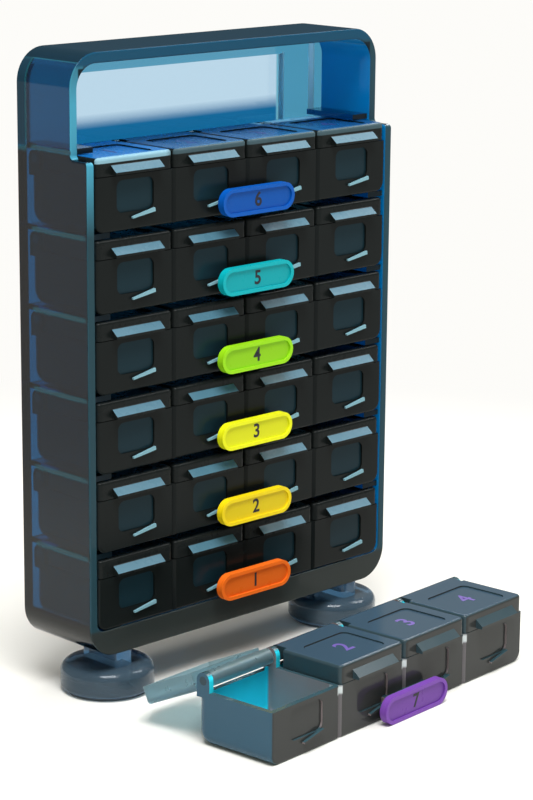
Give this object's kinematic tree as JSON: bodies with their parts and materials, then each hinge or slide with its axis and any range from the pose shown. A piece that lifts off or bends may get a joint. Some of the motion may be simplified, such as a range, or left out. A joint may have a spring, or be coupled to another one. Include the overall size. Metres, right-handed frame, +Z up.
{
  "type": "pill drawer organizer",
  "caption": "Translucent tower on two stick-down feet with slide-out day drawers, each a tray of pockets under hinged lids with a coloured day tag.",
  "frame": {"origin": "middle of the whole footprint, tower and loose drawer, at the table surface", "axes": "+Z up along the tower, -Y the way the drawers slide out, +X to the right as seen from the front"},
  "size_m": [0.115, 0.094, 0.175],
  "materials": {
    "sleeve": "glossy translucent petrol blue",
    "foot": "glossy translucent petrol blue",
    "pad": "soft clear adhesive",
    "tray": "glossy translucent dark blue",
    "rod": "satin dark plastic",
    "lid": "glossy translucent blue",
    "lid_loose": "glossy translucent petrol",
    "tag_monday": "glossy orange",
    "tag_tuesday": "glossy golden yellow",
    "tag_wednesday": "glossy lemon yellow",
    "tag_thursday": "glossy lime green",
    "tag_friday": "glossy cyan",
    "tag_saturday": "glossy blue",
    "tag_sunday": "glossy purple"
  },
  "bodies": {
    "tower": {"sleeve": "sleeve", "foot_left": "foot", "foot_right": "foot", "foot_pad_left": "pad", "foot_pad_right": "pad"},
    "drawer_monday": {"tray_monday": "tray", "hinge_rod_monday": "rod", "lid_monday_1": "lid", "lid_monday_2": "lid", "lid_monday_3": "lid", "lid_monday_4": "lid", "tag_monday": "tag_monday"},
    "drawer_tuesday": {"tray_tuesday": "tray", "hinge_rod_tuesday": "rod", "lid_tuesday_1": "lid", "lid_tuesday_2": "lid", "lid_tuesday_3": "lid", "lid_tuesday_4": "lid", "tag_tuesday": "tag_tuesday"},
    "drawer_wednesday": {"tray_wednesday": "tray", "hinge_rod_wednesday": "rod", "lid_wednesday_1": "lid", "lid_wednesday_2": "lid", "lid_wednesday_3": "lid", "lid_wednesday_4": "lid", "tag_wednesday": "tag_wednesday"},
    "drawer_thursday": {"tray_thursday": "tray", "hinge_rod_thursday": "rod", "lid_thursday_1": "lid", "lid_thursday_2": "lid", "lid_thursday_3": "lid", "lid_thursday_4": "lid", "tag_thursday": "tag_thursday"},
    "drawer_friday": {"tray_friday": "tray", "hinge_rod_friday": "rod", "lid_friday_1": "lid", "lid_friday_2": "lid", "lid_friday_3": "lid", "lid_friday_4": "lid", "tag_friday": "tag_friday"},
    "drawer_saturday": {"tray_saturday": "tray", "hinge_rod_saturday": "rod", "lid_saturday_1": "lid", "lid_saturday_2": "lid", "lid_saturday_3": "lid", "lid_saturday_4": "lid", "tag_saturday": "tag_saturday"},
    "drawer_sunday": {"tray_sunday": "tray", "hinge_rod_sunday": "rod", "tag_sunday": "tag_sunday"},
    "lid_sunday_1": {"lid_sunday_1": "lid_loose"},
    "lid_sunday_2": {"lid_sunday_2": "lid_loose"},
    "lid_sunday_3": {"lid_sunday_3": "lid_loose"},
    "lid_sunday_4": {"lid_sunday_4": "lid_loose"}
  },
  "joints": [
    {"name": "monday_slide", "type": "slide", "parent": "tower", "child": "drawer_monday", "axis": [0, -1, 0], "range_m": [0, 0.026]},
    {"name": "tuesday_slide", "type": "slide", "parent": "tower", "child": "drawer_tuesday", "axis": [0, -1, 0], "range_m": [0, 0.026]},
    {"name": "wednesday_slide", "type": "slide", "parent": "tower", "child": "drawer_wednesday", "axis": [0, -1, 0], "range_m": [0, 0.026]},
    {"name": "thursday_slide", "type": "slide", "parent": "tower", "child": "drawer_thursday", "axis": [0, -1, 0], "range_m": [0, 0.026]},
    {"name": "friday_slide", "type": "slide", "parent": "tower", "child": "drawer_friday", "axis": [0, -1, 0], "range_m": [0, 0.026]},
    {"name": "saturday_slide", "type": "slide", "parent": "tower", "child": "drawer_saturday", "axis": [0, -1, 0], "range_m": [0, 0.026]},
    {"name": "sunday_slide", "type": "slide", "parent": "tower", "child": "drawer_sunday", "axis": [0.0854, -0.9963, 0], "range_m": [0, 0.04]},
    {"name": "lid_sunday_1_hinge", "type": "hinge", "parent": "drawer_sunday", "child": "lid_sunday_1", "pos_m": [-0.04141, -0.02122, 0.0176], "axis": [-0.9963, -0.0854, 0], "range_deg": [-205, 0]},
    {"name": "lid_sunday_2_hinge", "type": "hinge", "parent": "drawer_sunday", "child": "lid_sunday_2", "pos_m": [-0.01421, -0.01888, 0.0176], "axis": [-0.9963, -0.0854, 0], "range_deg": [0, 205]},
    {"name": "lid_sunday_3_hinge", "type": "hinge", "parent": "drawer_sunday", "child": "lid_sunday_3", "pos_m": [0.01299, -0.01655, 0.0176], "axis": [-0.9963, -0.0854, 0], "range_deg": [0, 205]},
    {"name": "lid_sunday_4_hinge", "type": "hinge", "parent": "drawer_sunday", "child": "lid_sunday_4", "pos_m": [0.04019, -0.01422, 0.0176], "axis": [-0.9963, -0.0854, 0], "range_deg": [0, 205]}
  ]
}
